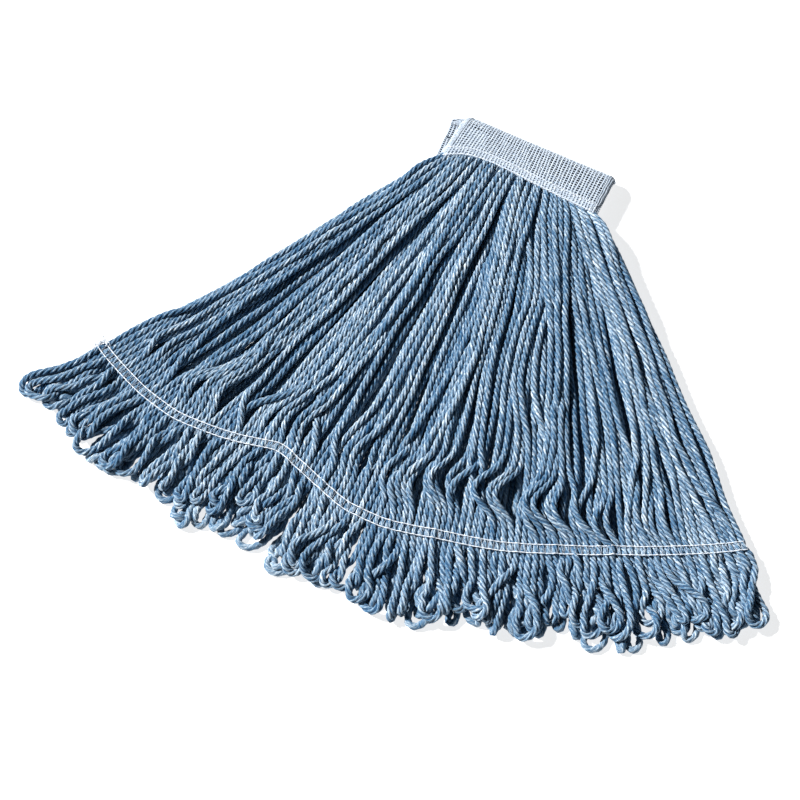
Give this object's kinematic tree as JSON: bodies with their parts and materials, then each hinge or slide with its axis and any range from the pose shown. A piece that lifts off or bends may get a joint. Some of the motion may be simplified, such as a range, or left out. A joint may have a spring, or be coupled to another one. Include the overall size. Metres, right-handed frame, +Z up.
{
  "type": "string mop head",
  "caption": "Looped-end wet mop head: twisted yarn fanned in two halves from a folded mesh headband, with a stitched tail band near its loose loops",
  "frame": {"origin": "centre of the bounding box's bottom face, on the floor that the folded mop lies on", "axes": "+X along the headband, +Y from the loose loops towards the headband's fold, +Z up, out of the front half"},
  "size_m": [0.7016, 0.4827, 0.034],
  "materials": {
    "yarn": "heathered steel-blue four-ply twisted yarn, matt and slightly fuzzy",
    "mesh_tape": "pale blue-grey open-mesh woven tape",
    "thread": "off-white sewing thread"
  },
  "bodies": {
    "back_headband": {"headband_tape_back": "mesh_tape", "headband_lining_back": "mesh_tape", "headband_yarn_back": "yarn", "headband_stitch_back": "thread"},
    "back_tails": {"tails_back_1": "yarn", "tails_back_2": "yarn", "tails_back_3": "yarn", "tails_back_4": "yarn", "tails_back_5": "yarn", "tails_back_6": "yarn", "tails_back_7": "yarn", "tails_back_8": "yarn", "band_yarn_back": "yarn", "band_thread_back_bottom_near": "thread", "band_thread_back_bottom_far": "thread", "band_thread_back_top_near": "thread", "band_thread_back_top_far": "thread", "band_cross_thread_back": "thread"},
    "back_loops_left": {"loops_back_1": "yarn", "loops_back_2": "yarn", "loops_back_3": "yarn"},
    "back_loops_centre": {"loops_back_4": "yarn", "loops_back_5": "yarn", "loops_back_6": "yarn"},
    "back_loops_right": {"loops_back_7": "yarn", "loops_back_8": "yarn", "loops_back_9": "yarn"},
    "front_headband": {"headband_tape_front": "mesh_tape", "headband_lining_front": "mesh_tape", "headband_yarn_front": "yarn", "headband_stitch_front": "thread"},
    "front_tails": {"tails_front_1": "yarn", "tails_front_2": "yarn", "tails_front_3": "yarn", "tails_front_4": "yarn", "tails_front_5": "yarn", "tails_front_6": "yarn", "tails_front_7": "yarn", "tails_front_8": "yarn", "band_yarn_front": "yarn", "band_thread_front_bottom_near": "thread", "band_thread_front_bottom_far": "thread", "band_thread_front_top_near": "thread", "band_thread_front_top_far": "thread", "band_cross_thread_front": "thread", "band_thread_tuft": "thread"},
    "front_loops_left": {"loops_front_1": "yarn", "loops_front_2": "yarn", "loops_front_3": "yarn"},
    "front_loops_centre": {"loops_front_4": "yarn", "loops_front_5": "yarn", "loops_front_6": "yarn"},
    "front_loops_right": {"loops_front_7": "yarn", "loops_front_8": "yarn", "loops_front_9": "yarn"}
  },
  "joints": [
    {"name": "headband_fold", "type": "hinge", "parent": "back_headband", "child": "front_headband", "pos_m": [0, 0.2415, 0.012], "axis": [-1, 0, 0], "range_deg": [0, 180]},
    {"name": "front_tails_swing", "type": "hinge", "parent": "front_headband", "child": "front_tails", "pos_m": [0, 0.1935, 0.024], "axis": [-1, 0, 0], "range_deg": [0, 80]},
    {"name": "back_tails_swing", "type": "hinge", "parent": "back_headband", "child": "back_tails", "pos_m": [0, 0.1935, 0], "axis": [1, 0, 0], "range_deg": [0, 80]},
    {"name": "front_loops_left_swing", "type": "hinge", "parent": "front_tails", "child": "front_loops_left", "pos_m": [-0.22466, -0.13797, 0.0179], "axis": [-0.9322, 0.362, 0], "range_deg": [0, 90]},
    {"name": "front_loops_centre_swing", "type": "hinge", "parent": "front_tails", "child": "front_loops_centre", "pos_m": [0, -0.17963, 0.0179], "axis": [-1, 0, 0], "range_deg": [0, 90]},
    {"name": "front_loops_right_swing", "type": "hinge", "parent": "front_tails", "child": "front_loops_right", "pos_m": [0.22466, -0.13797, 0.0179], "axis": [-0.9322, -0.362, 0], "range_deg": [0, 90]},
    {"name": "back_loops_left_swing", "type": "hinge", "parent": "back_tails", "child": "back_loops_left", "pos_m": [-0.22466, -0.13797, 0], "axis": [0.9322, -0.362, 0], "range_deg": [0, 90]},
    {"name": "back_loops_centre_swing", "type": "hinge", "parent": "back_tails", "child": "back_loops_centre", "pos_m": [0, -0.17963, 0], "axis": [1, 0, 0], "range_deg": [0, 90]},
    {"name": "back_loops_right_swing", "type": "hinge", "parent": "back_tails", "child": "back_loops_right", "pos_m": [0.22466, -0.13797, 0], "axis": [0.9322, 0.362, 0], "range_deg": [0, 90]}
  ]
}
